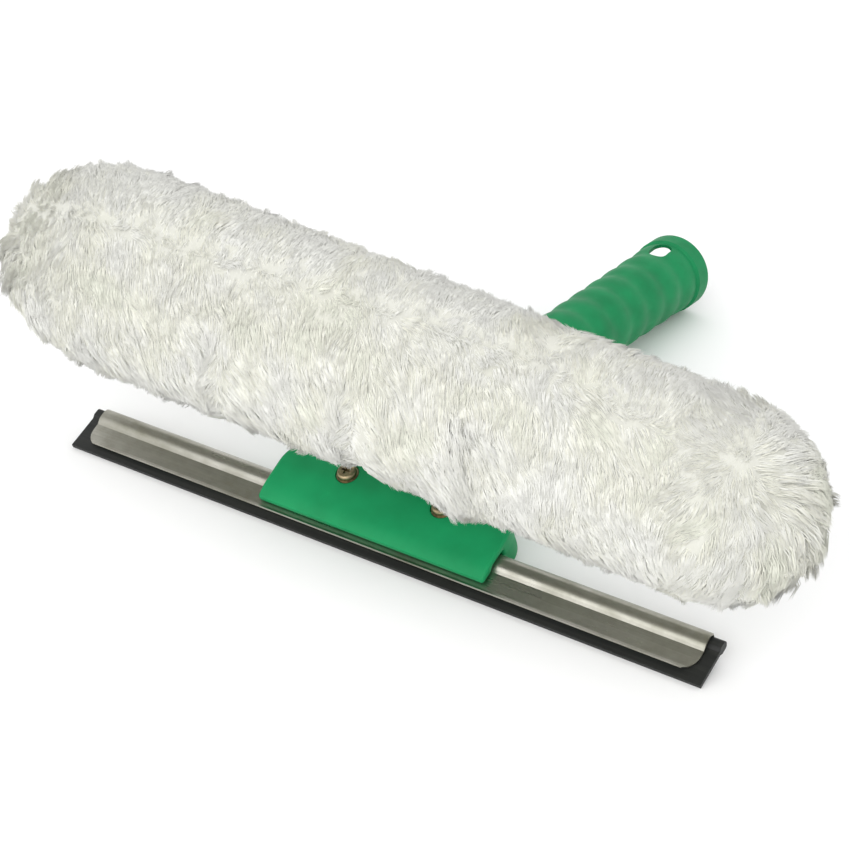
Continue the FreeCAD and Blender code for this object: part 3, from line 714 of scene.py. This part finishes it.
def closure_tape(name, node, level, colour):
    """A length of webbing with rounded selvedges, laid on the cloth; level is how many tapes are under it."""
    low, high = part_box(node)
    top = -CLOTH_U - TAPE_GAP - TAPE_STEP * level
    half = TAPE_HALF
    across = ((-half, 0.0), (-half + 0.3, -0.75), (-half + 1.2, -1.0), (-4, -0.9), (0, -0.94), (4, -0.9),
              (half - 1.2, -1.0), (half - 0.3, -0.75), (half, 0.0), (half - 0.5, 0.1), (0, 0.1),
              (-half + 0.5, 0.1))
    stations = np.linspace(low.x / MM, high.x / MM, 40)
    points = []
    for x in stations:
        ripple = 0.05 * math.sin(x / 2.3) + 0.04 * math.sin(x / 0.9)
        points += [(x, w, top + h + (ripple if h < -0.5 else 0)) for w, h in across]
    ring = np.arange(len(points)).reshape(len(stations), len(across))
    tape = new_piece(name, np.array(points), with_ends(between_rings(ring), ring),
                     woven_cloth(name + "_weave", colour, tuple(c * 0.65 for c in colour), 0.8, 0.2))
    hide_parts(node)
    return tape


def closure():
    """The hook tape sewn over the loop tape, beside the neck."""
    loop_tape = closure_tape("loop_tape", "closure_loop_tape", 0, (0.76, 0.76, 0.72))
    hook_tape = closure_tape("hook_tape", "closure_hook_tape", 1, (0.80, 0.80, 0.76))
    low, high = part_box("closure_hook_tape")
    left, right = low.x / MM + 2, high.x / MM - 2
    side, pitch = 8.2, 2.4
    around = [(x, -side) for x in np.arange(left, right, pitch)]
    around += [(right, w) for w in np.arange(-side, side, pitch)]
    around += [(x, side) for x in np.arange(right, left, -pitch)]
    around += [(left, w) for w in np.arange(side, -side, -pitch)]
    sewn = stitches("closure_stitches", around, -CLOTH_U - TAPE_GAP - TAPE_STEP - 1.05)
    return [loop_tape, hook_tape, sewn]


# ---- stage, camera and light ---------------------------------------------------------------------------
def floor():
    """A large sheet of pale paper just under the object."""
    mesh = bpy.data.meshes.new("studio_floor")
    half, level = 6.0, -0.0002
    corners = [(x * half, y * half, level) for x, y in ((-1, -1), (1, -1), (1, 1), (-1, 1))]
    mesh.from_pydata(corners, [], [(0, 1, 2, 3)])
    mesh.materials.append(new_material("studio_paper", (0.93, 0.93, 0.93), 0.9, Specular_IOR_Level=0.0))
    made = bpy.data.objects.new("studio_floor", mesh)
    bpy.context.scene.collection.objects.link(made)


def camera():
    """Seen from the blade's side, right of the middle and about 31 degrees above it."""
    azimuth, elevation = math.radians(33.8), math.radians(30.9)
    blade_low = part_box("rubber_blade")[0]
    eye = (0.49574, blade_low.y - 0.68625, blade_low.z + 0.57877)
    data = bpy.data.cameras.new("camera")
    data.sensor_width, data.lens = 36.0, 93.18
    data.clip_start = 0.05
    made = bpy.data.objects.new("camera", data)
    turn = Matrix.Rotation(azimuth, 3, "Z") @ Matrix.Rotation(math.pi / 2 - elevation, 3, "X")
    made.matrix_world = Matrix.Translation(eye) @ turn.to_4x4()
    bpy.context.scene.collection.objects.link(made)
    bpy.context.scene.camera = made


def softbox(name, at, aim, size, power):
    """An area light at a place, turned to aim."""
    data = bpy.data.lights.new(name, "AREA")
    data.shape, data.size, data.size_y, data.energy = "RECTANGLE", size[0], size[1], power
    made = bpy.data.objects.new(name, data)
    made.location = at
    made.rotation_euler = (Vector(aim) - Vector(at)).to_track_quat("-Z", "Y").to_euler()
    bpy.context.scene.collection.objects.link(made)


def lighting():
    """Soft light from all round, with three softboxes: above, in front and beside the camera."""
    world = bpy.data.worlds.new("studio")
    bpy.context.scene.world = world
    world.use_nodes = True
    sky = world.node_tree.nodes["Background"]
    sky.inputs["Color"].default_value = (1.0, 1.0, 1.0, 1)
    sky.inputs["Strength"].default_value = 1.01
    middle = (0.0, -0.05, 0.05)
    softbox("top_softbox", (-0.3, 0.2, 1.7), middle, (1.8, 1.4), 2.5)
    softbox("front_softbox", (-0.5, -1.7, 1.1), middle, (1.4, 0.9), 6.0)
    softbox("camera_softbox", (0.55, -1.3, 0.95), middle, (1.0, 0.8), 9.0)
    bpy.context.scene.view_settings.view_transform = "Standard"


rng = np.random.default_rng(SEED)
pile = fleece(rng)
cloth = sleeve_cloth(rng)
trim = slit_binding() + closure()
# cut as one piece 119 mm round the bar and 376 mm long with its end folds, less the slit
floor()
camera()
lighting()
